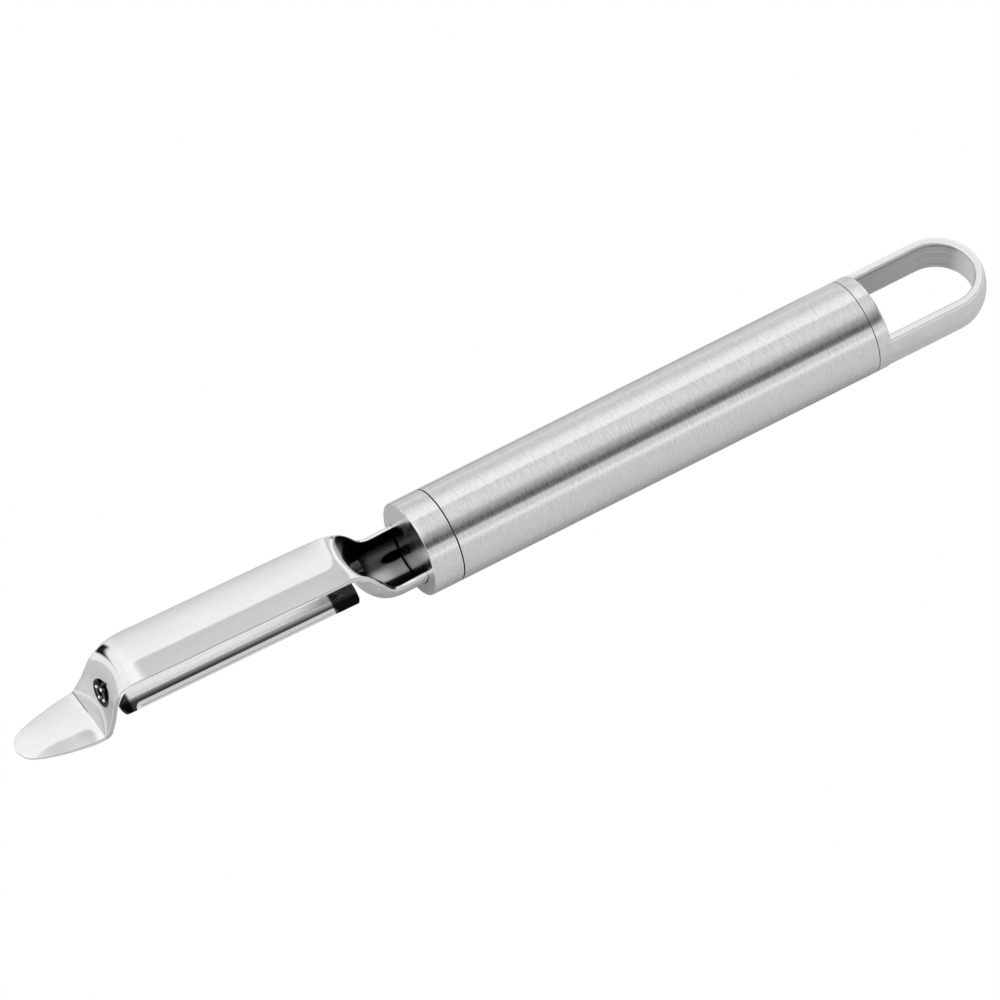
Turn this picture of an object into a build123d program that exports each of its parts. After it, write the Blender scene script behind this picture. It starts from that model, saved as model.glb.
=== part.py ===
from build123d import *
import os
import math
import numpy as np

# Vegetable peeler with a long swivelling blade.
# Millimetres. +X runs from the tongue at the head to the hanging loop, +Z is up,
# the origin is under the middle of the tool, level with the underside of the handle.

# ---------------------------------------------------------------- driving sizes
HANDLE_R = 9.0            # outside radius of ferrule, tube and end cap
TUBE_WALL = 0.8           # wall of the hollow handle tube
FERRULE_L = 6.03          # visible length of the front ferrule
TUBE_END_X = 93.34        # where the tube meets the end cap
CAP_L = 2.71              # solid disc of the end cap
LOOP_BEND_X = 111.07      # centre of the bend of the hanging loop
LOOP_HALF_H = 3.565       # half height of the loop's band
LOOP_IN_R = 6.81          # inside radius of the loop's bend, also half its inside width
LOOP_EDGE_R = 0.4         # rounded edges of the loop
SPIGOT_FRONT_L = 15.0     # ferrule spigot inside the tube
SPIGOT_REAR_L = 12.0      # cap spigot inside the tube
SOFT_EDGE = 0.35          # broken edges of ferrule and cap

SHEET_T = 1.05            # sheet of the stamped head
TONGUE_TIP_T = 0.45       # sheet at the tip of the tongue
TONGUE_TIP_X = -80.6      # tip of the tongue
TANG_END_X = 13.0         # end of the tang inside the ferrule
TANG_R = 5.48             # inside radius of the half-round neck

PIVOT_X = -62.9           # blade axis passes here ...
PIVOT_Z = 3.12            # ... at this height
PIVOT_SLOPE = -0.0257     # and falls this much per mm towards the handle
JOURNAL_R = 1.70          # rolled journals at both ends of the blade
JOURNAL_IN_R = 0.95       # hollow of a rolled journal
BORE_R = 1.75             # bores in the front and rear walls
STOP_R = 2.50             # reach of the stop ear on the front journal
STOP_SLOT_R = 2.62        # notch that the stop ear swings in
STOP_EAR_W = 0.8          # width of the ear
STOP_HALF_ANGLE = 48.0    # half angle of the notch

JOURNAL_FRONT_X = -63.35  # free end of the front journal
JOURNAL_REAR_X = -10.25   # free end of the rear journal
MOUTH_R = 2.65            # coned mouth of the front bore

BLADE_FRONT_X = -61.70    # front end of the blade
BLADE_REAR_X = -13.20     # rear end of the blade
BLADE_FRONT_ROUND = 2.0   # plan radius of the front corners
BLADE_REAR_ROUND = 0.9    # plan radius of the rear corners
BLADE_T = 0.60            # blade sheet
BLADE_FLAT = 1.84         # half width of the flat crown
BLADE_R = 4.0             # radius of the shoulders
BLADE_CROWN = 0.14        # crown above the pivot axis
FLANK_ANGLE = 52.0        # the shoulders end where the surface looks up at this angle ...
FLANK_L = 1.47            # ... and go on straight for this length
FACET_FROM = 0.27         # the ground facet starts this far down the flank,
FACET_ANGLE = 44.0        # looks up at this angle
FACET_L = 0.72            # and is this wide
EDGE_ANGLE = 28.0         # finer bevel below it, down to the cutting edge
BEVEL_X0, BEVEL_X1 = -59.0, -17.6   # where the grinding runs
SLOT_HALF_W = 1.6         # long slot in the crown
SLOT_X0, SLOT_X1 = -58.3, -18.0

# stations along the head: edge x, edge half width, edge z, middle x, middle z
# (top side of the sheet, measured from the handle's axis)
STATIONS = [
    (-83.0, 5.20, -1.75, -83.0, -1.60),
    (-80.0, 5.35, -1.75, -80.0, -1.40),
    (-77.0, 5.50, -1.75, -77.0, -1.20),
    (-72.0, 5.75, -1.72, -72.0, -1.10),
    (-68.5, 5.88, -1.62, -68.1, -1.08),
    (-66.6, 5.88, -1.50, -65.9, -1.02),
    (-65.8, 5.83, -1.15, -64.6, -0.62),
    (-65.3, 5.75, -0.30, -63.75, 0.05),
    (-64.8, 5.60, 0.90, -63.35, 1.10),
    (-64.4, 5.45, 2.00, -63.1, 2.10),
    (-64.0, 5.25, 3.60, -62.9, 3.50),
    (-63.6, 5.05, 5.10, -62.6, 5.10),
    (-63.2, 5.00, 6.35, -62.2, 6.60),
    (-62.7, 5.03, 7.30, -61.7, 7.90),
    (-61.9, 5.12, 8.20, -61.0, 9.00),
    (-60.9, 5.28, 8.88, -60.0, 9.78),
    (-59.7, 5.45, 9.33, -58.8, 10.22),
    (-58.3, 5.62, 9.56, -57.6, 10.38),
    (-54.0, 5.78, 9.50, -54.0, 10.28),
    (-46.0, 5.76, 9.20, -46.0, 9.98),
    (-39.0, 5.75, 8.95, -39.0, 9.73),
    (-32.0, 5.76, 8.70, -32.0, 9.48),
    (-26.0, 5.78, 8.46, -26.0, 9.24),
    (-21.0, 5.77, 8.24, -21.0, 9.00),
    (-18.5, 5.72, 8.14, -18.7, 8.86),
    (-16.6, 5.64, 8.09, -16.9, 8.64),
    (-15.0, 5.52, 8.02, -15.4, 8.24),
    (-13.7, 5.42, 7.75, -14.1, 7.48),
    (-12.6, 5.40, 7.25, -13.2, 6.25),
    (-11.5, 5.40, 6.50, -12.5, 4.80),
    (-10.4, 5.42, 5.42, -12.0, 3.20),
    (-9.4, 5.45, 4.15, -11.4, 1.20),
    (-8.4, 5.50, 2.70, -10.6, -0.90),
    (-7.4, 5.53, 1.15, -9.4, -2.90),
    (-6.4, 5.55, 0.25, -7.9, -4.40),
    (-5.3, 5.53, -0.12, -6.1, -5.20),
    (-3.3, 5.50, -0.10, -3.6, -5.45),
    (0.0, TANG_R, 0.00, 0.0, -TANG_R),
    (5.0, TANG_R, 0.00, 5.0, -TANG_R),
    (TANG_END_X, TANG_R, 0.00, TANG_END_X, -TANG_R),
]
# plan outline of the tongue: x, half width
TONGUE_OUTLINE = [(-80.6, 0.0), (-80.4, 0.95), (-79.75, 2.27), (-78.6, 3.12), (-76.1, 4.12),
                  (-72.5, 5.02), (-69.0, 5.62), (-66.8, 5.86)]

# the tool is built about the handle's axis and then set on the ground
X_MID = (TONGUE_TIP_X + LOOP_BEND_X + HANDLE_R) / 2
PLACE = Location((-X_MID, 0, HANDLE_R))


# ---------------------------------------------------------------- stamped head
def natural_spline(x, y, xq):
    n = len(x)
    h = np.diff(x)
    a = np.zeros((n, n))
    b = np.zeros(n)
    a[0, 0] = a[-1, -1] = 1
    for i in range(1, n - 1):
        a[i, i - 1] = h[i - 1]
        a[i, i] = 2 * (h[i - 1] + h[i])
        a[i, i + 1] = h[i]
        b[i] = 6 * ((y[i + 1] - y[i]) / h[i] - (y[i] - y[i - 1]) / h[i - 1])
    m = np.linalg.solve(a, b)
    i = np.clip(np.searchsorted(x, xq, side="right") - 1, 0, n - 2)
    p = (x[i + 1] - xq) / h[i]
    q = (xq - x[i]) / h[i]
    return p * y[i] + q * y[i + 1] + ((p ** 3 - p) * m[i] + (q ** 3 - q) * m[i + 1]) * h[i] ** 2 / 6


def head_grids(rows, cols):
    st = np.array(STATIONS)
    mid = (st[:, [0, 2]] + st[:, [3, 4]]) / 2
    s = np.concatenate([[0], np.cumsum(np.linalg.norm(np.diff(mid, axis=0), axis=1))])
    sq = np.linspace(s[0], s[-1], rows)
    xe, a, ze, xc, zc = [natural_spline(s, st[:, k], sq) for k in range(5)]
    t = np.linspace(-1, 1, cols)
    top = np.zeros((rows, cols, 3))
    for i in range(rows):
        depth = math.hypot(xc[i] - xe[i], zc[i] - ze[i])
        th = 2 * math.atan2(depth, a[i])          # half angle of the section's arc
        if th < 0.02:
            d, y = 1 - t * t, a[i] * t
        else:
            d = (np.cos(th * t) - math.cos(th)) / (1 - math.cos(th))
            y = a[i] * np.sin(th * t) / math.sin(th) if th < math.pi - 1e-3 else a[i] * np.sin(th * t)
        top[i, :, 0] = xe[i] + (xc[i] - xe[i]) * d
        top[i, :, 1] = y
        top[i, :, 2] = ze[i] + (zc[i] - ze[i]) * d
    n = np.cross(np.gradient(top, axis=0), np.gradient(top, axis=1))
    n /= np.linalg.norm(n, axis=2, keepdims=True)
    taper = np.clip((top[:, :, 0] - TONGUE_TIP_X) / 13.0, 0, 1)
    thick = TONGUE_TIP_T + (SHEET_T - TONGUE_TIP_T) * taper
    return top, top - n * thick[:, :, None]


def spline_face(grid):
    return Face.make_surface_from_array_of_points(
        [[Vector(*map(float, p)) for p in row] for row in grid], tol=0.02, min_deg=3, max_deg=5)


def border(face, grid, k):
    # the face's edge along one side of its grid
    line = [grid[:, 0], grid[:, -1], grid[0, :], grid[-1, :]][k]
    m = Vector(*map(float, line[len(line) // 2]))
    return min(face.edges(), key=lambda e: e.distance_to(m) + 0.001 * (e.position_at(0.5) - m).length)


def same_way(e1, e2):
    straight = (e1.position_at(0) - e2.position_at(0)).length + (e1.position_at(1) - e2.position_at(1)).length
    crossed = (e1.position_at(0) - e2.position_at(1)).length + (e1.position_at(1) - e2.position_at(0)).length
    return straight <= crossed


top_grid, low_grid = head_grids(110, 17)
top_face, low_face = spline_face(top_grid), spline_face(low_grid)
sides = []
for k in range(4):
    e1, e2 = border(top_face, top_grid, k), border(low_face, low_grid, k)
    if not same_way(e1, e2):
        e2 = e2.reversed() if hasattr(e2, "reversed") else e2
    sides.append(Face.make_surface_from_curves(e1, e2))
head = Solid(Shell([top_face, low_face] + sides))
if head.volume < 0:
    head = Solid(head.wrapped.Reversed())

# the tongue's plan outline: everything forward of x = -66.8 is trimmed to it
pts = TONGUE_OUTLINE
tip = [Vector(x, -w, -8) for x, w in reversed(pts[1:])] + [Vector(x, w, -8) for x, w in pts]
ends = [Vector(pts[-1][0], 9, -8), Vector(-90, 9, -8), Vector(-90, -9, -8), Vector(pts[-1][0], -9, -8)]
loose = Wire(Polyline(tip[-1], *ends, tip[0]).edges() + [Spline(*tip)])
head = head - extrude(Face(loose), amount=10, dir=(0, 0, 1))


# ---------------------------------------------------------------- pivot line
def pivot(x):
    return Vector(x, 0, PIVOT_Z + PIVOT_SLOPE * (x - PIVOT_X))


AXIS = Vector(1, 0, PIVOT_SLOPE).normalized()


def along(x):
    # a plane at x on the pivot line, looking towards the handle, its x axis across the tool
    return Plane(origin=pivot(x), x_dir=(0, 1, 0), z_dir=AXIS)


def rod(radius, x0, x1):
    return extrude(along(x0) * Circle(radius), amount=(x1 - x0) / AXIS.X)


# the bores for the rolled journals; the front one has a coned mouth and a notch for the stop ear
head -= rod(BORE_R, -66, -58.5)
head -= rod(BORE_R, -15.5, -8.0)
head -= loft([(along(-64.0) * Circle(MOUTH_R + 0.45)).face(), (along(-62.5) * Circle(BORE_R)).face()])
half = math.radians(STOP_HALF_ANGLE)
reach = STOP_SLOT_R / math.cos(half)
fan = Polygon((0, 0), (reach * math.sin(half), reach * math.cos(half)),
              (-reach * math.sin(half), reach * math.cos(half)), align=None)
head -= extrude(along(-66) * (fan & Circle(STOP_SLOT_R)), amount=7.5)

# ---------------------------------------------------------------- blade
def shoulder(radius, angle, side=1):
    # point on the blade's section, in the plane of along(x)
    a = math.radians(angle)
    return Vector(side * (BLADE_FLAT + radius * math.cos(a)), BLADE_CROWN - BLADE_R + radius * math.sin(a))


def slope(angle, side=1):
    # direction down a surface that looks up at this angle
    a = math.radians(angle)
    return Vector(side * math.sin(a), -math.cos(a))


def flank(radius, side):
    return shoulder(radius, FLANK_ANGLE, side) + slope(FLANK_ANGLE, side) * FLANK_L


def half_section(radius, side):
    # crown's end, round shoulder, straight flank
    mid_a = (90 + FLANK_ANGLE) / 2
    return [Edge.make_three_point_arc(shoulder(radius, 90, side), shoulder(radius, mid_a, side),
                                      shoulder(radius, FLANK_ANGLE, side)),
            Edge.make_line(shoulder(radius, FLANK_ANGLE, side), flank(radius, side))]


ri = BLADE_R - BLADE_T
profile = Wire([Edge.make_line(shoulder(BLADE_R, 90, -1), shoulder(BLADE_R, 90, 1)),
                Edge.make_line(shoulder(ri, 90, -1), shoulder(ri, 90, 1)),
                Edge.make_line(flank(BLADE_R, 1), flank(ri, 1)),
                Edge.make_line(flank(BLADE_R, -1), flank(ri, -1))]
               + half_section(BLADE_R, 1) + half_section(ri, 1)
               + half_section(BLADE_R, -1) + half_section(ri, -1))
blade = extrude(along(BLADE_FRONT_X) * Face(profile), amount=(BLADE_REAR_X - BLADE_FRONT_X) / AXIS.X, dir=AXIS)

# plan outline with rounded corners
half_w = flank(BLADE_R, 1).X + 0.02
plan = Location(((BLADE_FRONT_X + BLADE_REAR_X) / 2, 0, -6)) * Rectangle(BLADE_REAR_X - BLADE_FRONT_X, 2 * half_w)
plan = fillet(plan.vertices().sort_by(Axis.X)[:2], BLADE_FRONT_ROUND)
plan = fillet(plan.vertices().sort_by(Axis.X)[-2:], BLADE_REAR_ROUND)
blade = blade & extrude(plan, amount=16, dir=(0, 0, 1))

# long slot through the crown
slot = Location(((SLOT_X0 + SLOT_X1) / 2, 0, -6)) * SlotOverall(SLOT_X1 - SLOT_X0, 2 * SLOT_HALF_W)
blade -= extrude(slot, amount=16, dir=(0, 0, 1))

# ground facet and finer bevel on the outside of both lower edges, running out in a curve at their ends
for side in (-1, 1):
    p0 = shoulder(BLADE_R, FLANK_ANGLE, side) + slope(FLANK_ANGLE, side) * FACET_FROM
    p1 = p0 + slope(FACET_ANGLE, side) * FACET_L
    p2 = p1 + slope(EDGE_ANGLE, side) * 1.6
    away = Vector(side * math.cos(math.radians(FACET_ANGLE)), math.sin(math.radians(FACET_ANGLE))) * 3
    grind = Polygon(*[(q.X, q.Y) for q in (p0, p1, p2, p2 + away, p0 + away)], align=None)
    ground = extrude(along(BEVEL_X0) * grind, amount=(BEVEL_X1 - BEVEL_X0) / AXIS.X, dir=AXIS)
    for x in (BEVEL_X0, BEVEL_X1):
        m = p0 + away * 0.5
        corner = along(x).from_local_coords(m)
        ground = fillet(min(ground.edges(), key=lambda e: (e.position_at(0.5) - corner).length), 1.1)
    blade -= ground

# rolled journals and the stop ear
blade += rod(JOURNAL_R, JOURNAL_FRONT_X, BLADE_FRONT_X + 0.75)
blade += rod(JOURNAL_R, BLADE_REAR_X - 0.75, JOURNAL_REAR_X)
ear = Location((0, (STOP_R + 1.2) / 2)) * Rectangle(STOP_EAR_W, STOP_R - 1.2)
blade += extrude(along(JOURNAL_FRONT_X + 0.25) * (ear & Circle(STOP_R)), amount=2.2)
blade -= rod(JOURNAL_IN_R, JOURNAL_FRONT_X - 1, BLADE_FRONT_X + 2)
blade -= rod(JOURNAL_IN_R, BLADE_REAR_X - 2, JOURNAL_REAR_X + 1)

# ---------------------------------------------------------------- handle
def disc(radius, x0, x1):
    return extrude(Plane(origin=(x0, 0, 0), x_dir=(0, 1, 0), z_dir=(1, 0, 0)) * Circle(radius), amount=x1 - x0)


BORE = HANDLE_R - TUBE_WALL
ferrule = disc(HANDLE_R, 0, FERRULE_L)
ferrule = chamfer(ferrule.edges().filter_by(GeomType.CIRCLE).sort_by(Axis.X)[0], SOFT_EDGE * 0.6)
ferrule = chamfer(ferrule.edges().filter_by(GeomType.CIRCLE).sort_by(Axis.X)[-1], 0.15)
ferrule += disc(BORE, FERRULE_L - 0.5, FERRULE_L + SPIGOT_FRONT_L)
# half-round slot for the tang, a little wider than the sheet on its outer side
ring = Circle(TANG_R + SHEET_T + 0.14) - Circle(TANG_R - 0.04)
lower = Location((0, -10 + 0.10)) * Rectangle(40, 20)
ferrule -= extrude(Plane(origin=(-1, 0, 0), x_dir=(0, 1, 0), z_dir=(1, 0, 0)) * (ring & lower), amount=TANG_END_X + 1.8)

tube = disc(HANDLE_R, FERRULE_L, TUBE_END_X)
tube = chamfer(tube.edges().filter_by(GeomType.CIRCLE), 0.12)
tube -= disc(BORE, FERRULE_L - 1, TUBE_END_X + 1)

# ---------------------------------------------------------------- end cap with its hanging loop
cap_face = TUBE_END_X + CAP_L
root = cap_face - 1.2                      # the loop's legs grow out of the cap
band = disc(HANDLE_R, root, LOOP_BEND_X) + Location((LOOP_BEND_X, 0, 0)) * Sphere(HANDLE_R)
band = band & (Location((LOOP_BEND_X, 0, 0)) * Box(2 * (LOOP_BEND_X - root), 40, 2 * LOOP_HALF_H))
eye_l = LOOP_BEND_X - root + 1
eye = Location((root - 1 + eye_l / 2, 0, 0)) * Box(eye_l, 2 * LOOP_IN_R, 30)
eye += Location((LOOP_BEND_X, 0, 0)) * Cylinder(LOOP_IN_R, 30)
band = band - eye
band = fillet([e for e in band.edges() if abs(abs(e.position_at(0.5).Z) - LOOP_HALF_H) < 0.01
               and e.position_at(0.5).X > root + 0.1], LOOP_EDGE_R)
cap = disc(HANDLE_R, TUBE_END_X, cap_face)
cap = chamfer(cap.edges().filter_by(GeomType.CIRCLE).sort_by(Axis.X)[0], 0.15)
cap = fillet(cap.edges().filter_by(GeomType.CIRCLE).sort_by(Axis.X)[-1], SOFT_EDGE)
loop = cap + band
loop += disc(BORE, TUBE_END_X - SPIGOT_REAR_L, TUBE_END_X + 0.5)

os.makedirs("parts", exist_ok=True)
for name, solid in [("head_frame", head), ("swivel_blade", blade), ("front_ferrule", ferrule),
                    ("handle_tube", tube), ("end_loop", loop)]:
    placed = PLACE * solid
    export_step(placed, "parts/" + name + ".step")
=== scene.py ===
import math

import bmesh
import bpy
import numpy as np
from mathutils import Matrix, Vector


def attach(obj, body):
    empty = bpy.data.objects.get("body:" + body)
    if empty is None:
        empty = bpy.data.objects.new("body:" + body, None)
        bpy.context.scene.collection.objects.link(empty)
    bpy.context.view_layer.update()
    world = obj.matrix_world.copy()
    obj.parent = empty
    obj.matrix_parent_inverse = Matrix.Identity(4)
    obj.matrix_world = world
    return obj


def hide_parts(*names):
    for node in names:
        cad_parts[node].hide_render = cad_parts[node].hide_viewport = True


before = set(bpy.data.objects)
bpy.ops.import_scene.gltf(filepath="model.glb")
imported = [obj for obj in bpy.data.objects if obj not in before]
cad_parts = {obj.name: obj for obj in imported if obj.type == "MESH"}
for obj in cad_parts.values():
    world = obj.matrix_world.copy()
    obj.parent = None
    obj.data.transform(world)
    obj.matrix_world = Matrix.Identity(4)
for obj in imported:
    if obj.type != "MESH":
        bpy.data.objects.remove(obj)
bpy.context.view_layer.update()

# ------------------------------------------------------------------ driving sizes, mm, as in the CAD model
HANDLE_R, TUBE_WALL = 9.0, 0.8
FERRULE_L, TUBE_END_X, CAP_L = 6.03, 93.34, 2.71
LOOP_BEND_X, LOOP_HALF_H, LOOP_IN_R, LOOP_EDGE_R = 111.07, 3.565, 6.81, 0.4
SPIGOT_FRONT_L, SPIGOT_REAR_L = 15.0, 12.0
SOFT_EDGE = 0.35
SHEET_T, TONGUE_TIP_T, TONGUE_TIP_X = 1.05, 0.45, -80.6
TANG_END_X, TANG_R = 13.0, 5.48
PIVOT_X, PIVOT_Z, PIVOT_SLOPE = -62.9, 3.12, -0.0257
JOURNAL_R, JOURNAL_IN_R, BORE_R = 1.70, 0.95, 1.75
STOP_R, STOP_SLOT_R, STOP_EAR_W, STOP_HALF_ANGLE = 2.50, 2.62, 0.64, 48.0
JOURNAL_FRONT_X, JOURNAL_REAR_X, MOUTH_R = -63.35, -10.25, 2.65
BLADE_FRONT_X, BLADE_REAR_X = -61.70, -13.20
BLADE_FRONT_ROUND, BLADE_REAR_ROUND = 2.0, 0.9
BLADE_T, BLADE_FLAT, BLADE_R, BLADE_CROWN = 0.60, 1.84, 4.0, 0.14
FLANK_ANGLE, FLANK_L = 52.0, 1.47
FACET_FROM, FACET_ANGLE, FACET_L, EDGE_ANGLE = 0.27, 44.0, 0.72, 28.0
BEVEL_X0, BEVEL_X1 = -59.0, -17.6
SLOT_HALF_W, SLOT_X0, SLOT_X1 = 1.6, -58.3, -18.0
STATIONS = [
    (-83.0, 5.20, -1.75, -83.0, -1.60), (-80.0, 5.35, -1.75, -80.0, -1.40), (-77.0, 5.50, -1.75, -77.0, -1.20),
    (-72.0, 5.75, -1.72, -72.0, -1.10), (-68.5, 5.88, -1.62, -68.1, -1.08), (-66.6, 5.88, -1.50, -65.9, -1.02),
    (-65.8, 5.83, -1.15, -64.6, -0.62), (-65.3, 5.75, -0.30, -63.75, 0.05), (-64.8, 5.60, 0.90, -63.35, 1.10),
    (-64.4, 5.45, 2.00, -63.1, 2.10), (-64.0, 5.25, 3.60, -62.9, 3.50), (-63.6, 5.05, 5.10, -62.6, 5.10),
    (-63.2, 5.00, 6.35, -62.2, 6.60), (-62.7, 5.03, 7.30, -61.7, 7.90), (-61.9, 5.12, 8.20, -61.0, 9.00),
    (-60.9, 5.28, 8.88, -60.0, 9.78), (-59.7, 5.45, 9.33, -58.8, 10.22), (-58.3, 5.62, 9.56, -57.6, 10.38),
    (-54.0, 5.78, 9.50, -54.0, 10.28), (-46.0, 5.76, 9.20, -46.0, 9.98), (-39.0, 5.75, 8.95, -39.0, 9.73),
    (-32.0, 5.76, 8.70, -32.0, 9.48), (-26.0, 5.78, 8.46, -26.0, 9.24), (-21.0, 5.77, 8.24, -21.0, 9.00),
    (-18.5, 5.72, 8.14, -18.7, 8.86), (-16.6, 5.64, 8.09, -16.9, 8.64), (-15.0, 5.52, 8.02, -15.4, 8.24),
    (-13.7, 5.42, 7.75, -14.1, 7.48), (-12.6, 5.40, 7.25, -13.2, 6.25), (-11.5, 5.40, 6.50, -12.5, 4.80),
    (-10.4, 5.42, 5.42, -12.0, 3.20), (-9.4, 5.45, 4.15, -11.4, 1.20), (-8.4, 5.50, 2.70, -10.6, -0.90),
    (-7.4, 5.53, 1.15, -9.4, -2.90), (-6.4, 5.55, 0.25, -7.9, -4.40), (-5.3, 5.53, -0.12, -6.1, -5.20),
    (-3.3, 5.50, -0.10, -3.6, -5.45), (0.0, 5.48, 0.00, 0.0, -5.48), (5.0, 5.48, 0.00, 5.0, -5.48),
    (13.0, 5.48, 0.00, 13.0, -5.48)]
TONGUE_OUTLINE = [(-80.6, 0.0), (-80.4, 0.95), (-79.75, 2.27), (-78.6, 3.12), (-76.1, 4.12),
                  (-72.5, 5.02), (-69.0, 5.62), (-66.8, 5.86)]
X_MID = (TONGUE_TIP_X + LOOP_BEND_X + HANDLE_R) / 2
SHIFT = np.array([-X_MID, 0.0, HANDLE_R])


def at(p):
    """mm about the handle's axis -> metres in the row frame"""
    return (np.asarray(p, float) + SHIFT) / 1000.0


# ------------------------------------------------------------------ mesh helpers
def new_mesh(name, verts, faces, smooth_angle=None):
    me = bpy.data.meshes.new(name)
    me.from_pydata([tuple(map(float, v)) for v in verts], [], [tuple(map(int, f)) for f in faces])
    me.update()
    bm = bmesh.new()
    bm.from_mesh(me)
    bmesh.ops.remove_doubles(bm, verts=bm.verts, dist=1e-7)
    bmesh.ops.recalc_face_normals(bm, faces=bm.faces)
    bm.to_mesh(me)
    bm.free()
    ob = bpy.data.objects.new(name, me)
    bpy.context.scene.collection.objects.link(ob)
    if smooth_angle is not None:
        smooth(ob, smooth_angle)
    return ob


def smooth(ob, degrees):
    ob.data.shade_smooth()
    ob.data.set_sharp_from_angle(angle=math.radians(degrees))


def bake(ob):
    """applies the object's modifiers to its mesh"""
    dg = bpy.context.evaluated_depsgraph_get()
    me = bpy.data.meshes.new_from_object(ob.evaluated_get(dg), depsgraph=dg)
    old = ob.data
    ob.modifiers.clear()
    ob.data = me
    bpy.data.meshes.remove(old)


def cut(ob, *cutters, how="DIFFERENCE"):
    for c in cutters:
        m = ob.modifiers.new("cut", "BOOLEAN")
        m.operation, m.solver, m.object = how, "EXACT", c
        bpy.context.view_layer.update()
        bake(ob)
        bpy.data.objects.remove(c)
    return ob


def soften(ob, width_mm, angle=35, segments=2):
    m = ob.modifiers.new("edges", "BEVEL")
    m.width, m.segments, m.limit_method = width_mm / 1000.0, segments, "ANGLE"
    m.angle_limit, m.harden_normals, m.use_clamp_overlap = math.radians(angle), True, True
    return ob


def loft(name, rings, closed_ring=True, caps=True, smooth_angle=None, loop=False):
    """rings: list of equal-length point lists"""
    n = len(rings[0])
    verts = [p for r in rings for p in r]
    faces = []
    for i in range(len(rings) - (0 if loop else 1)):
        j = (i + 1) % len(rings)
        for k in range(n if closed_ring else n - 1):
            l = (k + 1) % n
            faces.append((i * n + k, i * n + l, j * n + l, j * n + k))
    if caps and not loop:
        faces.append(tuple(range(n)))
        faces.append(tuple(len(verts) - n + k for k in range(n))[::-1])
    return new_mesh(name, verts, faces, smooth_angle)


def lathe(name, profile, segments=256, smooth_angle=30, closed=True):
    """profile: (x, r) points in mm, turned about the handle's axis"""
    rings = []
    for x, r in profile:
        rings.append([at((x, r * math.cos(2 * math.pi * k / segments), r * math.sin(2 * math.pi * k / segments)))
                      for k in range(segments)])
    return loft(name, rings, caps=False, smooth_angle=smooth_angle, loop=closed)


def arc(cx, cy, r, a0, a1, n):
    return [(cx + r * math.cos(math.radians(a0 + (a1 - a0) * i / n)), cy + r * math.sin(math.radians(a0 + (a1 - a0) * i / n)))
            for i in range(n + 1)]


# ------------------------------------------------------------------ stamped head
def natural_spline(x, y, xq):
    n = len(x)
    h = np.diff(x)
    a = np.zeros((n, n))
    b = np.zeros(n)
    a[0, 0] = a[-1, -1] = 1
    for i in range(1, n - 1):
        a[i, i - 1] = h[i - 1]
        a[i, i] = 2 * (h[i - 1] + h[i])
        a[i, i + 1] = h[i]
        b[i] = 6 * ((y[i + 1] - y[i]) / h[i] - (y[i] - y[i - 1]) / h[i - 1])
    m = np.linalg.solve(a, b)
    i = np.clip(np.searchsorted(x, xq, side="right") - 1, 0, n - 2)
    p = (x[i + 1] - xq) / h[i]
    q = (xq - x[i]) / h[i]
    return p * y[i] + q * y[i + 1] + ((p ** 3 - p) * m[i] + (q ** 3 - q) * m[i + 1]) * h[i] ** 2 / 6


ST = np.array(STATIONS)
MIDS = (ST[:, [0, 2]] + ST[:, [3, 4]]) / 2
S_KNOTS = np.concatenate([[0], np.cumsum(np.linalg.norm(np.diff(MIDS, axis=0), axis=1))])
OUT = np.array(TONGUE_OUTLINE)
OUT_S = np.concatenate([[0], np.cumsum(np.linalg.norm(np.diff(OUT, axis=0), axis=1))])


def section_point(s, t):
    """top side of the sheet; s runs along the head, t from -1 to 1 across it (arrays of the same shape)"""
    s, t = np.broadcast_arrays(np.asarray(s, float), np.asarray(t, float))
    xe, a, ze, xc, zc = [natural_spline(S_KNOTS, ST[:, k], s.ravel()).reshape(s.shape) for k in range(5)]
    th = 2 * np.arctan2(np.hypot(xc - xe, zc - ze), a)
    flat = th < 0.02
    ths = np.where(flat, 0.5, th)
    den = np.where(np.abs(np.sin(ths)) < 1e-3, 1.0, np.sin(ths))
    d = np.where(flat, 1 - t * t, (np.cos(ths * t) - np.cos(ths)) / (1 - np.cos(ths)))
    y = np.where(flat, a * t, a * np.sin(ths * t) / den)
    return np.stack([xe + (xc - xe) * d, y, ze + (zc - ze) * d], -1)


def section_frame(s, t):
    e = 1e-3
    ds = section_point(s + e, t) - section_point(s - e, t)
    dt = section_point(s, t + e) - section_point(s, t - e)
    n = np.cross(ds, dt)
    n /= np.linalg.norm(n, axis=-1, keepdims=True)
    return n, ds / (2 * e), dt / (2 * e)


def tongue_half_width(x):
    """plan outline of the tongue as a smooth curve"""
    q = np.linspace(0, OUT_S[-1], 1200)
    # mirrored about the tip so that the curve is round there
    sk = np.concatenate([-OUT_S[::-1][:-1], OUT_S])
    xs = np.concatenate([OUT[::-1, 0][:-1], OUT[:, 0]])
    ws = np.concatenate([-OUT[::-1, 1][:-1], OUT[:, 1]])
    xq, wq = natural_spline(sk, xs, q), natural_spline(sk, ws, q)
    return np.interp(x, xq, wq)


def head_rows():
    s_tip = np.interp(TONGUE_TIP_X, MIDS[:, 0], S_KNOTS)
    s_end = S_KNOTS[-1]
    u = np.linspace(0, 1, 46)[1:]
    near_tip = s_tip + 0.004 + 3.0 * u ** 2
    rest = np.concatenate([np.arange(near_tip[-1] + 0.3, 15.0, 0.3), np.arange(15.0, 29.0, 0.11),
                           np.arange(29.0, 66.0, 0.45), np.arange(66.0, 84.0, 0.14), np.arange(84.0, s_end, 0.6), [s_end]])
    return np.concatenate([near_tip, rest])


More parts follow.
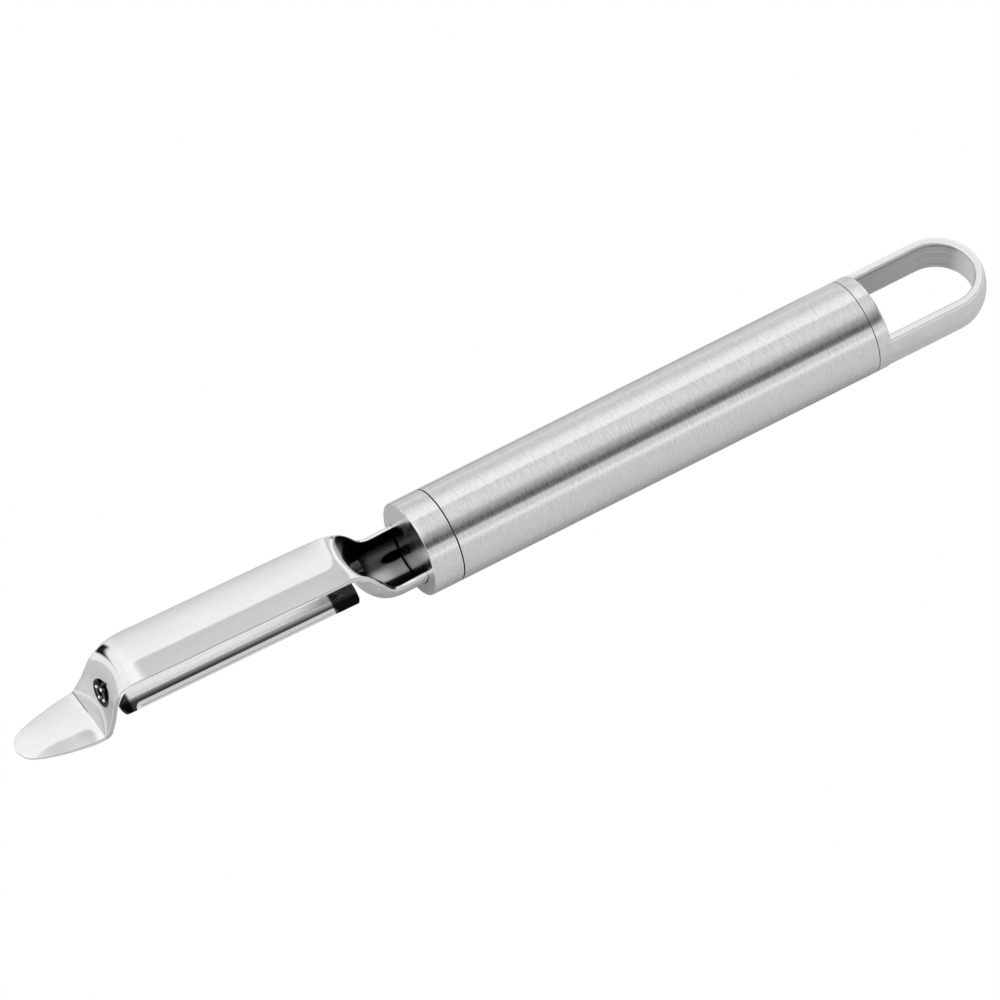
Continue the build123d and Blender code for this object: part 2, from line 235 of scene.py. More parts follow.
def head_mesh():
    rows = head_rows()
    cols = np.concatenate([np.linspace(0, 1, 31)])
    rings = []
    n_arc = 5
    for s in rows:
        # half extent in t: 1, or less where the tongue's outline cuts the sheet
        t_max = 1.0
        p1 = section_point(s, 1.0)
        if p1[0] < -66.75:
            tt = np.linspace(0, 1, 401)
            pp = section_point(s, tt)
            ok = pp[:, 1] <= tongue_half_width(pp[:, 0])
            k = int(np.argmin(ok)) if not ok.all() else 400
            if k < 400:
                w0, w1 = pp[k - 1, 1] - tongue_half_width(pp[k - 1, 0]), pp[k, 1] - tongue_half_width(pp[k, 0])
                t_max = tt[k - 1] + (tt[k] - tt[k - 1]) * (-w0) / (w1 - w0) if w1 != w0 else tt[k]
            else:
                t_max = 1.0
        t_max = max(t_max, 0.002)
        x_mid = section_point(s, 0.0)[0]
        thick = TONGUE_TIP_T + (SHEET_T - TONGUE_TIP_T) * min(max((x_mid - TONGUE_TIP_X) / 13.0, 0), 1)
        half_len = np.linalg.norm(section_frame(s, np.array(t_max))[2]) * t_max
        r_top = min(0.30, 0.36 * thick, 0.45 * half_len)
        r_low = min(0.34, 0.36 * thick, 0.45 * half_len)
        e_len = np.linalg.norm(section_frame(s, np.array(t_max))[2])
        ring = []
        # top side from -t to +t
        t_in = t_max - r_top / e_len
        tq = np.concatenate([-cols[::-1] * t_in, cols[1:] * t_in])
        top = section_point(np.full(tq.shape, s), tq)
        n_all, _, _ = section_frame(np.full(tq.shape, s), tq)
        ring += list(top)
        # right edge: top arc then low arc
        for side in (1, -1):
            pe = section_point(s, side * t_max)
            ne, dse, dte = section_frame(s, np.array(side * t_max))
            eo = side * dte / np.linalg.norm(dte)
            eo = eo - ne * np.dot(eo, ne)
            eo /= np.linalg.norm(eo)
            c1 = pe - eo * r_top - ne * r_top
            c2 = pe - eo * r_low - ne * (thick - r_low)
            a1 = [c1 + r_top * (math.cos(a) * ne + math.sin(a) * eo) for a in np.linspace(0, math.pi / 2, n_arc + 1)[1:]]
            a2 = [c2 + r_low * (math.cos(a) * eo - math.sin(a) * ne) for a in np.linspace(0, math.pi / 2, n_arc + 1)[:-1]]
            if side == 1:
                ring += a1 + a2
                t_lo = t_max - r_low / e_len
                tl = np.concatenate([cols[::-1] * t_lo, -cols[1:] * t_lo])
                nl, _, _ = section_frame(np.full(tl.shape, s), tl)
                ring += list(section_point(np.full(tl.shape, s), tl) - nl * thick)
            else:
                ring += a2[::-1] + a1[::-1][:]
        rings.append([at(p) for p in ring])
    return rings


def pivot(x):
    return np.array([x, 0.0, PIVOT_Z + PIVOT_SLOPE * (x - PIVOT_X)])


AX = np.array([1.0, 0.0, PIVOT_SLOPE])
AX /= np.linalg.norm(AX)
AY = np.array([0.0, 1.0, 0.0])
AZ = np.cross(AX, AY)


def on_axis(x, a, b):
    """point of the plane across the pivot line at x; a across the tool, b up"""
    return at(pivot(x) + a * AY + b * AZ)


def prism(name, outline, x0, x1, smooth_angle=None):
    return loft(name, [[on_axis(x0, a, b) for a, b in outline], [on_axis(x1, a, b) for a, b in outline]],
                smooth_angle=smooth_angle)


def circle(r, n=96):
    return [(r * math.cos(2 * math.pi * k / n), r * math.sin(2 * math.pi * k / n)) for k in range(n)]


def front_hole():
    """bore with its coned mouth"""
    rings = []
    for x, r in [(-66.5, MOUTH_R + 0.45 + 2.5 * (1.35 / 1.5)), (-62.5, BORE_R), (-58.5, BORE_R)]:
        rings.append([on_axis(x, a, b) for a, b in circle(r)])
    rings[0] = [on_axis(-64.0, a, b) for a, b in circle(MOUTH_R + 0.45)]
    rings.insert(0, [on_axis(-66.5, a, b) for a, b in circle(MOUTH_R + 0.45)])
    return loft("cut_bore", rings)


def stop_notch():
    h = STOP_HALF_ANGLE
    pts = [(0.0, 0.3)] + arc(0, 0, STOP_SLOT_R, 90 - h, 90 + h, 24)
    return prism("cut_notch", pts, -66.5, -58.5)


rings = head_mesh()
head = loft("head_sheet", rings, caps=True)
cut(head, front_hole())
cut(head, stop_notch())
cut(head, prism("cut_rear", circle(BORE_R), -15.5, -8.0))
smooth(head, 38)
soften(head, 0.07, angle=42, segments=3)


# ------------------------------------------------------------------ blade
def shoulder(radius, angle, side=1):
    a = math.radians(angle)
    return np.array([side * (BLADE_FLAT + radius * math.cos(a)), BLADE_CROWN - BLADE_R + radius * math.sin(a)])


def slope(angle, side=1):
    a = math.radians(angle)
    return np.array([side * math.sin(a), -math.cos(a)])


def half_outline(radius, n=18):
    pts = [shoulder(radius, a) for a in np.linspace(90, FLANK_ANGLE, n + 1)]
    return pts + [shoulder(radius, FLANK_ANGLE) + slope(FLANK_ANGLE) * FLANK_L]


def blade_piece():
    outer, inner = half_outline(BLADE_R), half_outline(BLADE_R - BLADE_T)
    right = outer + inner[::-1]
    left = [np.array([-p[0], p[1]]) for p in right]
    # once round: outer from left foot over the crown to the right foot, inner back
    ring = left[:len(outer)][::-1] + right[:len(outer)] + right[len(outer):] + left[len(outer):][::-1]
    body = prism("blade_sheet", [tuple(p) for p in ring], BLADE_FRONT_X, BLADE_REAR_X)
    # plan outline with rounded corners
    hw = outer[-1][0] + 0.02
    x0, x1, r0, r1 = BLADE_FRONT_X, BLADE_REAR_X, BLADE_FRONT_ROUND, BLADE_REAR_ROUND
    plan = (arc(x0 + r0, -hw + r0, r0, 180, 270, 16) + arc(x1 - r1, -hw + r1, r1, 270, 360, 12)
            + arc(x1 - r1, hw - r1, r1, 0, 90, 12) + arc(x0 + r0, hw - r0, r0, 90, 180, 16))
    tool = loft("plan", [[at((x, y, z)) for x, y in plan] for z in (-6, 8)])
    cut(body, tool, how="INTERSECT")
    # long slot
    w = SLOT_HALF_W
    slot = arc(SLOT_X0 + w, 0, w, 90, 270, 28) + arc(SLOT_X1 - w, 0, w, -90, 90, 28)
    cut(body, loft("slot", [[at((x, y, z)) for x, y in slot] for z in (-6, 8)]))
    # ground facet and finer bevel, with curved run-outs
    for side in (-1, 1):
        p0 = shoulder(BLADE_R, FLANK_ANGLE, side) + slope(FLANK_ANGLE, side) * FACET_FROM
        p1 = p0 + slope(FACET_ANGLE, side) * FACET_L
        p1b = p1 + slope(FLANK_ANGLE, side) * 0.09          # fine line where the second grinding begins
        p2 = p1b + slope(EDGE_ANGLE, side) * 1.6
        out = np.array([side * math.cos(math.radians(FACET_ANGLE)), math.sin(math.radians(FACET_ANGLE))]) * 3
        d44, d28 = slope(FACET_ANGLE, side), slope(EDGE_ANGLE, side)
        rr = 1.1
        sections = []
        for k in range(13):
            a = math.pi / 2 * k / 12
            sections.append((BEVEL_X0 + rr * (1 - math.cos(a)), rr * (1 - math.sin(a))))
        sections += [(BEVEL_X0 + BEVEL_X1 - x, d) for x, d in sections[::-1]]
        rgs = []
        for x, d in sections:
            # d: how far down the facet the cut starts here
            if d < FACET_L:
                q0, q1, q2 = p0 + d44 * d, p1, p1b
            else:
                q2 = p1b + d28 * (d - FACET_L)
                q0, q1 = q2 - d28 * 2e-4, q2 - d28 * 1e-4
            rgs.append([on_axis(x, *q) for q in (q0, q1, q2, p2, p2 + out, q0 + out)])
        cut(body, loft("grind", rgs))
    return body


def tube_piece(name, r_out, r_in, x0, x1, gap_deg=0.0, gap_at=-90.0, n=72, ends=0.12):
    """rolled tube on the pivot line, open along one side"""
    if gap_deg:
        a0, a1 = gap_at + gap_deg / 2, gap_at + 360 - gap_deg / 2
        ring = arc(0, 0, r_out, a0, a1, n) + arc(0, 0, r_in, a1, a0, n)
        return prism(name, ring, x0, x1)
    ring_o, ring_i = circle(r_out, n), circle(r_in, n)
    rg = [[on_axis(x0, a, b) for a, b in ring_i], [on_axis(x0, a, b) for a, b in ring_o],
          [on_axis(x1, a, b) for a, b in ring_o], [on_axis(x1, a, b) for a, b in ring_i]]
    return loft(name, rg, caps=False, loop=True)


blade = blade_piece()
smooth(blade, 24)
soften(blade, 0.045, angle=30, segments=2)
journal_f = tube_piece("blade_journal_front", JOURNAL_R, JOURNAL_IN_R, JOURNAL_FRONT_X, BLADE_FRONT_X + 0.75, gap_deg=26)
journal_r = tube_piece("blade_journal_rear", JOURNAL_R, JOURNAL_IN_R, BLADE_REAR_X - 0.75, JOURNAL_REAR_X, gap_deg=26)
w = STOP_EAR_W / 2
ear = prism("blade_stop_ear", [(-w, 1.3), (w, 1.3), (w, math.sqrt(STOP_R ** 2 - w * w))]
            + arc(0, 0, STOP_R, 90 - math.degrees(math.asin(w / STOP_R)), 90 + math.degrees(math.asin(w / STOP_R)), 6)[1:-1]
            + [(-w, math.sqrt(STOP_R ** 2 - w * w))], JOURNAL_FRONT_X + 0.25, JOURNAL_FRONT_X + 2.45)
for o in (journal_f, journal_r, ear):
    smooth(o, 30)
    soften(o, 0.08, angle=40, segments=2)

def stake_mark(k, angle, r):
    """small round bead on the front journal's riveted end"""
    a = math.radians(angle)
    c = np.array(on_axis(JOURNAL_FRONT_X + 0.06, r * math.cos(a), r * math.sin(a)))
    rows = [[c + 0.00034 * np.array([-math.cos(v), math.sin(v) * math.cos(u), math.sin(v) * math.sin(u)])
             for u in np.linspace(0, 2 * math.pi, 21)[:-1]] for v in np.linspace(0.03, math.pi - 0.03, 11)]
    return loft("blade_stake_%d" % k, rows, smooth_angle=60)


stakes = [stake_mark(k, a, 1.42) for k, a in enumerate((24, 102, 204, 282))]

# ------------------------------------------------------------------ ferrule, tube, cap with loop
BORE = HANDLE_R - TUBE_WALL
C = SOFT_EDGE * 0.6
SEAM = 0.12                # half of the open slit at each seam


def ferrule_mesh():
    ob = lathe("ferrule", [(0, 1e-4), (0, 3), (0, 5), (0, 7), (0, HANDLE_R - C)]
               + [(C - C * math.cos(a), HANDLE_R - C + C * math.sin(a)) for a in np.linspace(0, math.pi / 2, 6)][1:]
               + [(1.5, HANDLE_R), (FERRULE_L - SEAM - 0.04, HANDLE_R), (FERRULE_L - SEAM, HANDLE_R - 0.04), (FERRULE_L - SEAM, BORE - 0.005),
                  (FERRULE_L + SPIGOT_FRONT_L, BORE - 0.005), (FERRULE_L + SPIGOT_FRONT_L, 1e-4)], smooth_angle=None)
    # half-round slot for the tang
    ro, ri, z = TANG_R + SHEET_T + 0.14, TANG_R - 0.04, 0.10
    ao, ai = math.degrees(math.asin(z / ro)), math.degrees(math.asin(z / ri))
    ring = arc(0, 0, ro, 180 - ao, 360 + ao, 96) + arc(0, 0, ri, 360 + ai, 180 - ai, 96)
    tool = loft("slot", [[at((x, a, b)) for a, b in ring] for x in (-1, TANG_END_X + 0.8)])
    cut(ob, tool)
    smooth(ob, 30)
    return ob


ferrule = ferrule_mesh()
tube = lathe("tube", [(FERRULE_L + SEAM, BORE), (FERRULE_L + SEAM, HANDLE_R - 0.04), (FERRULE_L + SEAM + 0.04, HANDLE_R),
                      (FERRULE_L + 1, HANDLE_R), (50, HANDLE_R), (TUBE_END_X - 1, HANDLE_R),
                      (TUBE_END_X - SEAM - 0.04, HANDLE_R), (TUBE_END_X - SEAM, HANDLE_R - 0.04), (TUBE_END_X - SEAM, BORE)])


def loop_mesh():
    h, ri, ro, r = LOOP_HALF_H, LOOP_IN_R, HANDLE_R, LOOP_EDGE_R
    sec = []
    # inner face upwards, top edge, outer face downwards, lower edge, in (distance, z)
    sec += [(ri, -h + r + (2 * h - 2 * r) * i / 8) for i in range(9)]
    sec += arc(ri + r, h - r, r, 180, 90, 6)[1:]
    a_top = math.asin((h - r) / (ro - r))
    cx = (ro - r) * math.cos(a_top)
    sec += [(ri + r + (cx - ri - r) * i / 3, h) for i in range(1, 3)]
    sec += arc(cx, h - r, r, 90, math.degrees(a_top), 6)
    sec += arc(0, 0, ro, math.degrees(a_top), -math.degrees(a_top), 20)[1:]
    sec += arc(cx, -(h - r), r, -math.degrees(a_top), -90, 6)[1:]
    sec += [(ri + r + (cx - ri - r) * i / 3, -h) for i in (2, 1)]
    sec += arc(ri + r, -h + r, r, 270, 180, 6)[:-1]
    rings = []
    root = TUBE_END_X + 1.4
    for x in np.linspace(root, LOOP_BEND_X, 24)[:-1]:
        rings.append([at((x, d, z)) for d, z in sec])
    for a in np.linspace(0, math.pi, 97):
        rings.append([at((LOOP_BEND_X + d * math.sin(a), d * math.cos(a), z)) for d, z in sec])
    for x in np.linspace(LOOP_BEND_X, root, 24)[1:]:
        rings.append([at((x, -d, z)) for d, z in sec])
    return loft("hang_loop", rings, caps=True, smooth_angle=30)


S = SOFT_EDGE
x1 = TUBE_END_X + CAP_L
cap = lathe("end_cap", [(TUBE_END_X - SPIGOT_REAR_L, 1e-4), (TUBE_END_X - SPIGOT_REAR_L, BORE - 0.005), (TUBE_END_X + 0.01, BORE - 0.005),
                        (TUBE_END_X + 0.01, HANDLE_R - 0.04), (TUBE_END_X + 0.05, HANDLE_R), (x1 - S, HANDLE_R)]
            + [(x1 - S + S * math.sin(a), HANDLE_R - S + S * math.cos(a)) for a in np.linspace(0, math.pi / 2, 7)][1:]
            + [(x1, 5), (x1, 1e-4)])
loop = loop_mesh()


# ------------------------------------------------------------------ materials
def nodes_of(name):
    m = bpy.data.materials.new(name)
    m.use_nodes = True
    nt = m.node_tree
    return m, nt, nt.nodes["Principled BSDF"]


def link(nt, a, b):
    nt.links.new(a, b)


def stretched_noise(nt, scale, detail=4.0, rough=0.6, kind="Object"):
    tc = nt.nodes.new("ShaderNodeTexCoord")
    mp = nt.nodes.new("ShaderNodeMapping")
    mp.inputs["Scale"].default_value = scale
    nz = nt.nodes.new("ShaderNodeTexNoise")
    nz.inputs["Scale"].default_value = 1.0
    nz.inputs["Detail"].default_value = detail
    nz.inputs["Roughness"].default_value = rough
    link(nt, tc.outputs[kind], mp.inputs["Vector"])
    link(nt, mp.outputs["Vector"], nz.inputs["Vector"])
    return nz


def ramp(nt, src, lo, hi, a=0.3, b=0.7):
    mr = nt.nodes.new("ShaderNodeMapRange")
    mr.inputs["From Min"].default_value, mr.inputs["From Max"].default_value = a, b
    mr.inputs["To Min"].default_value, mr.inputs["To Max"].default_value = lo, hi
    link(nt, src, mr.inputs["Value"])
    return mr.outputs["Result"]


def tint(nt, bsdf, src, dark, light):
    mx = nt.nodes.new("ShaderNodeMix")
    mx.data_type = "RGBA"
    mx.inputs[6].default_value = (*dark, 1)
    mx.inputs[7].default_value = (*light, 1)
    link(nt, src, mx.inputs[0])
    link(nt, mx.outputs[2], bsdf.inputs["Base Color"])


def bump(nt, bsdf, src, strength, distance):
    b = nt.nodes.new("ShaderNodeBump")
    b.inputs["Strength"].default_value = strength
    b.inputs["Distance"].default_value = distance
    link(nt, src, b.inputs["Height"])
    link(nt, b.outputs["Normal"], bsdf.inputs["Normal"])


def calc(nt, op, *vals, node="ShaderNodeMath"):
    n = nt.nodes.new(node)
    n.operation = op
    for i, v in enumerate(vals):
        if isinstance(v, (int, float, tuple)):
            n.inputs[i].default_value = v
        else:
            link(nt, v, n.inputs[i])
    return n.outputs["Value"] if op == "DOT_PRODUCT" else n.outputs[0]


def step(nt, v, lo, hi):
    """0 at lo, 1 at hi; lo may be the larger"""
    r = nt.nodes.new("ShaderNodeMapRange")
    r.interpolation_type = "SMOOTHSTEP"
    r.inputs["From Min"].default_value, r.inputs["From Max"].default_value = min(lo, hi), max(lo, hi)
    if lo > hi:
        r.inputs["To Min"].default_value, r.inputs["To Max"].default_value = 1.0, 0.0
    link(nt, v, r.inputs["Value"])
    return r.outputs[0]


def mul(nt, first, *rest):
    for v in rest:
        first = calc(nt, "MULTIPLY", first, v)
    return first


def blend(nt, f, a, c):
    """a where f is 0, c where f is 1"""
    k = nt.nodes.new("ShaderNodeMix")
    k.data_type = "FLOAT"
    link(nt, f, k.inputs[0])
    for i, v in ((2, a), (3, c)):
        if isinstance(v, (int, float)):
            k.inputs[i].default_value = v
        else:
            link(nt, v, k.inputs[i])
    return k.outputs[0]


def curve(nt, v, stops, top=1.0):
    """value by a list of (position 0..1, value)"""
    cr = nt.nodes.new("ShaderNodeValToRGB")
    cr.color_ramp.interpolation = "LINEAR"
    el = cr.color_ramp.elements
    while len(el) < len(stops):
        el.new(0.5)
    for e, (p, q) in zip(el, stops):
        e.position = p
        e.color = (q / top, q / top, q / top, 1)
    link(nt, v, cr.inputs["Fac"])
    return calc(nt, "MULTIPLY", cr.outputs["Color"], top)


def grey(nt, v, socket):
    cc = nt.nodes.new("ShaderNodeCombineColor")
    for k in range(3):
        link(nt, v, cc.inputs[k])
    link(nt, cc.outputs[0], socket)


def from_axis(nt):
    """place on the tool, in metres from the front of the ferrule on the handle's axis"""
    tc = nt.nodes.new("ShaderNodeTexCoord")
    pos = calc(nt, "SUBTRACT", tc.outputs["Object"], tuple(SHIFT / 1000.0), node="ShaderNodeVectorMath")
    sep = nt.nodes.new("ShaderNodeSeparateXYZ")
    link(nt, pos, sep.inputs[0])
    return pos, sep.outputs["X"], sep.outputs["Y"], sep.outputs["Z"]


def brushed():
    """round-brushed tube: hairlines run round the handle"""
    m, nt, b = nodes_of("brushed_steel")
    b.inputs["Metallic"].default_value = 1.0
    b.inputs["Anisotropic"].default_value = 0.85
    fine = stretched_noise(nt, (5600, 700, 700), 2.0, 0.5)
    mixed = fine.outputs["Fac"]
    # painted shade: the bottom of the slits at both ends of the tube is painted near black
    _, px, py, pz = from_axis(nt)
    off = calc(nt, "SQRT", calc(nt, "ADD", mul(nt, py, py), mul(nt, pz, pz)))
    slit_shade = calc(nt, "MAXIMUM", mul(nt, step(nt, px, 0.00563, 0.00573), step(nt, px, 0.00643, 0.00633)),
                 mul(nt, step(nt, px, 0.09294, 0.09304), step(nt, px, 0.09374, 0.09364)))
    col = blend(nt, mul(nt, slit_shade, step(nt, off, 0.00897, 0.00892)), ramp(nt, mixed, 0.72, 0.86), 0.03)
    grey(nt, col, b.inputs["Base Color"])
    link(nt, ramp(nt, mixed, 0.16, 0.23), b.inputs["Roughness"])
    tg = nt.nodes.new("ShaderNodeTangent")
    tg.direction_type = "RADIAL"
    tg.axis = "X"
    link(nt, tg.outputs["Tangent"], b.inputs["Tangent"])
    b.inputs["Anisotropic Rotation"].default_value = 0.25
    bump(nt, b, mixed, 0.05, 0.00002)
    return m


def turned():
    """satin loop"""
    m, nt, b = nodes_of("satin_steel")
    b.inputs["Metallic"].default_value = 1.0
    n = stretched_noise(nt, (700, 1400, 1400), 3.0, 0.6)
    # inside of the eye: milled lengthwise, and painted shade: darker towards the tube, lighter at the far end of the
    # eye as painted light, with a painted shadow line under the upper edge
    _, px, py, pz = from_axis(nt)
    past = calc(nt, "MAXIMUM", calc(nt, "SUBTRACT", px, LOOP_BEND_X / 1000), 0.0)
    away = calc(nt, "SQRT", calc(nt, "ADD", mul(nt, past, past), mul(nt, py, py)))
    eye = mul(nt, step(nt, away, 0.00705, 0.00692), step(nt, calc(nt, "ABSOLUTE", pz), 0.00335, 0.00318))
    milled = stretched_noise(nt, (60, 60, 4200), 3.0, 0.6)
    eye_grain_and_shade = blend(nt, step(nt, past, 0.0052, 0.0068), ramp(nt, milled.outputs["Fac"], 0.46, 0.64), 0.88)
    eye_grain_and_shade = blend(nt, mul(nt, step(nt, pz, 0.00255, 0.00280), step(nt, past, 0.0066, 0.0056)), eye_grain_and_shade, 0.40)
    col = blend(nt, eye, ramp(nt, n.outputs["Fac"], 0.74, 0.82), eye_grain_and_shade)
    # broken outer edges with a painted highlight: lighter and rougher along them
    edge_highlight = mul(nt, step(nt, away, 0.00780, 0.00795), step(nt, away, 0.00865, 0.00850), step(nt, calc(nt, "ABSOLUTE", pz), 0.00300, 0.00315))
    col = blend(nt, edge_highlight, col, 0.92)
    grey(nt, col, b.inputs["Base Color"])
    link(nt, blend(nt, edge_highlight, ramp(nt, n.outputs["Fac"], 0.20, 0.28), 0.36), b.inputs["Roughness"])
    bump(nt, b, n.outputs["Fac"], 0.05, 0.00002)
    return m


def head_steel():
    """mirror polish on the bridge and the tongue, a fine satin on the front wall with painted light and painted shade
    on it, painted shade and painted reflections in the neck's trough
    """
    m, nt, b = nodes_of("polished_steel")
    b.inputs["Metallic"].default_value = 1.0
    n = stretched_noise(nt, (120, 700, 700), 3.0, 0.5)
    pos, px, py, pz = from_axis(nt)
    geo = nt.nodes.new("ShaderNodeNewGeometry")
    nrm = nt.nodes.new("ShaderNodeSeparateXYZ")
    link(nt, geo.outputs["Normal"], nrm.inputs[0])
    # inner side of the neck: it looks towards a point in the middle of the trough
    to_q = calc(nt, "NORMALIZE", calc(nt, "SUBTRACT", (-0.003, 0.0, -0.0005), pos, node="ShaderNodeVectorMath"), node="ShaderNodeVectorMath")
    facing = calc(nt, "DOT_PRODUCT", geo.outputs["Normal"], to_q, node="ShaderNodeVectorMath")
    inner = mul(nt, step(nt, facing, 0.10, 0.28), step(nt, px, -0.0136, -0.0126), step(nt, pz, 0.0076, 0.0066))
    # angle round the trough, 0 at the far edge, 0.5 at the bottom, 1 at the near edge
    round_ = mul(nt, calc(nt, "ARCTAN2", pz, py), -1 / math.pi)
    # painted shade and painted reflections: the neck near black, with grey stripes by the angle round the trough
    trough = curve(nt, round_, [(0.0, .006), (.125, .008), (.155, .12), (.25, .13), (.335, .10), (.39, .20), (.44, .27),
                                (.515, .30), (.545, .012), (1.0, .012)])
    # a painted light patch on the near half of the trough by the ferrule
    trough = mul(nt, trough, blend(nt, mul(nt, step(nt, px, -0.0020, -0.0060), step(nt, round_, 0.34, 0.42)), 1.0, 2.2))
    # a painted shadow: a dark ellipse in the trough near the ferrule
    shadow_ellipse = calc(nt, "ADD", calc(nt, "POWER", mul(nt, calc(nt, "ADD", px, 0.0016), 1 / 0.0026), 2.0),
                calc(nt, "POWER", mul(nt, calc(nt, "SUBTRACT", round_, 0.305), 1 / 0.055), 2.0))
    trough = mul(nt, trough, step(nt, shadow_ellipse, 0.6, 1.3))
    # painted shade: darker at the joint with the ferrule, near black on the rear wall
    trough = mul(nt, trough, step(nt, px, -0.00015, -0.00045))
    trough = blend(nt, step(nt, px, -0.0098, -0.0072), 0.014, trough)
    # underside of the bridge
    under = mul(nt, step(nt, nrm.outputs["Z"], -0.4, -0.7), step(nt, pz, 0.0055, 0.0062), step(nt, px, -0.0625, -0.0600), step(nt, px, -0.0140, -0.0165))
    # front wall and the bore's mouth
    wall = mul(nt, step(nt, px, -0.06595, -0.06580), step(nt, px, -0.0612, -0.0618), step(nt, pz, 0.0078, 0.0068),
               step(nt, nrm.outputs["X"], 0.1, -0.05))
    # painted shade: a dark line along the crease at the top of the front wall
    crease_shade = mul(nt, step(nt, px, -0.06605, -0.06595), step(nt, px, -0.06570, -0.06580), step(nt, py, -0.0005, 0.0010))
    # painted shade: the bore's coned mouth is painted near black
    dz = calc(nt, "SUBTRACT", pz, PIVOT_Z / 1000)
    off = calc(nt, "SQRT", calc(nt, "ADD", mul(nt, dz, dz), mul(nt, py, py)))
    mouth = mul(nt, step(nt, off, 0.00275, 0.0026), step(nt, px, -0.0600, -0.0608))
    grain = stretched_noise(nt, (1800, 1800, 1800), 3.0, 0.6)
    col = ramp(nt, n.outputs["Fac"], 0.785, 0.82)
    # painted light and shade: the wall is painted lighter where it faces forward, darker where it turns away
    facing_light = step(nt, nrm.outputs["X"], -0.35, -0.85)
    col = blend(nt, wall, col, mul(nt, ramp(nt, grain.outputs["Fac"], 0.95, 1.05), blend(nt, facing_light, 0.58, 0.76)))
    col = blend(nt, crease_shade, col, 0.30)
    col = blend(nt, under, col, 0.95)
    col = blend(nt, mouth, col, 0.03)
    col = blend(nt, inner, col, trough)
    grey(nt, col, b.inputs["Base Color"])
    rough = ramp(nt, n.outputs["Fac"], 0.04, 0.07)
    rough = blend(nt, wall, rough, 0.27)
    rough = blend(nt, under, rough, 0.5)
    rough = blend(nt, inner, rough, 0.30)
    link(nt, rough, b.inputs["Roughness"])
    return m


def blade_steel():
    """polished blade, with a painted reflection along the slot and its ends painted dark as shade"""
    m, nt, b = nodes_of("blade_steel")
    b.inputs["Metallic"].default_value = 1.0
    n = stretched_noise(nt, (120, 700, 700), 3.0, 0.5)
    _, px, py, _ = from_axis(nt)
    col = ramp(nt, n.outputs["Fac"], 0.79, 0.82)
    # painted reflection: the strip along the slot is painted brighter
    col = blend(nt, step(nt, calc(nt, "ABSOLUTE", py), 0.00365, 0.00335), col, 0.98)
    # painted shade: both ends of the blade, under the bridge, are painted near black
    ends = calc(nt, "MAXIMUM", step(nt, px, -0.0593, -0.0600), step(nt, px, -0.0186, -0.0181))
    col = blend(nt, ends, col, 0.05)
    grey(nt, col, b.inputs["Base Color"])
    link(nt, ramp(nt, n.outputs["Fac"], 0.05, 0.08), b.inputs["Roughness"])
    return m


def pivot_steel():
    m, nt, b = nodes_of("pivot_steel")
    b.inputs["Metallic"].default_value = 1.0
    n = stretched_noise(nt, (900, 900, 900), 3.0, 0.5)
    # painted shade: the journals and the stop ear are painted near black, as they sit in the shade inside the head
    tint(nt, b, ramp(nt, n.outputs["Fac"], 0, 1), (0.05, 0.05, 0.05), (0.08, 0.08, 0.08))
    b.inputs["Roughness"].default_value = 0.2
    return m


def stake_steel():
    m, nt, b = nodes_of("stake_steel")
    b.inputs["Metallic"].default_value = 1.0
    n = stretched_noise(nt, (900, 900, 900), 3.0, 0.5)
    tint(nt, b, ramp(nt, n.outputs["Fac"], 0, 1), (0.93, 0.93, 0.93), (0.97, 0.97, 0.97))
    b.inputs["Roughness"].default_value = 0.25
    return m


STEEL, SATIN, MIRROR, BLADE, PIVOT, STAKE = brushed(), turned(), head_steel(), blade_steel(), pivot_steel(), stake_steel()


def give(ob, mat, body, slot, *replaced):
    ob.data.materials.clear()
    ob.data.materials.append(mat)
    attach(ob, body)
    if replaced:
        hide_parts(*replaced)


give(head, MIRROR, "handle", "polished_steel", "head_frame")
give(ferrule, STEEL, "handle", "brushed_steel", "front_ferrule")
give(tube, STEEL, "handle", "brushed_steel", "handle_tube")
give(cap, STEEL, "handle", "brushed_steel", "end_loop")
give(loop, SATIN, "handle", "brushed_steel", "end_loop")
give(blade, BLADE, "blade", "blade_steel", "swivel_blade")
for o in (journal_f, journal_r, ear):
    give(o, PIVOT, "blade", "blade_steel", "swivel_blade")
for o in stakes:
    give(o, STAKE, "blade", "blade_steel", "swivel_blade")


# ------------------------------------------------------------------ floor, light, camera
def plane(name, box, z, colour=None, emit=None):
    x0, x1, y0, y1 = box
    me = bpy.data.meshes.new(name)
    me.from_pydata([(x0, y0, z), (x1, y0, z), (x1, y1, z), (x0, y1, z)], [], [(0, 1, 2, 3)])
    ob = bpy.data.objects.new(name, me)
    bpy.context.scene.collection.objects.link(ob)
    m = bpy.data.materials.new(name)
    m.use_nodes = True
    nt = m.node_tree
    if emit is not None:
        nt.nodes.clear()
        e = nt.nodes.new("ShaderNodeEmission")
        e.inputs["Color"].default_value = (1, 1, 1, 1)
        e.inputs["Strength"].default_value = emit
        o = nt.nodes.new("ShaderNodeOutputMaterial")
        link(nt, e.outputs[0], o.inputs[0])
    else:
        nt.nodes["Principled BSDF"].inputs["Base Color"].default_value = (*colour, 1)
        nt.nodes["Principled BSDF"].inputs["Roughness"].default_value = 0.9
    me.materials.append(m)
    return ob


# the pale floor: what the camera sees is evenly lit, what the steel reflects is shaded by the tool
seen = plane("floor_seen", (-3, 3, -3, 3), -0.0002, emit=1.0)
seen.visible_diffuse = seen.visible_glossy = seen.visible_shadow = seen.visible_transmission = False
lit = plane("floor_lit", (-1.5, 1.5, -1.5, 1.5), -0.0001, colour=(0.88, 0.88, 0.88))
lit.visible_camera = False
# light panel in the table under the blade
panel = plane("light_panel", (-0.0800, -0.0365, -0.030, 0.030), -0.00005, emit=1.06)
panel.visible_camera = panel.visible_shadow = False
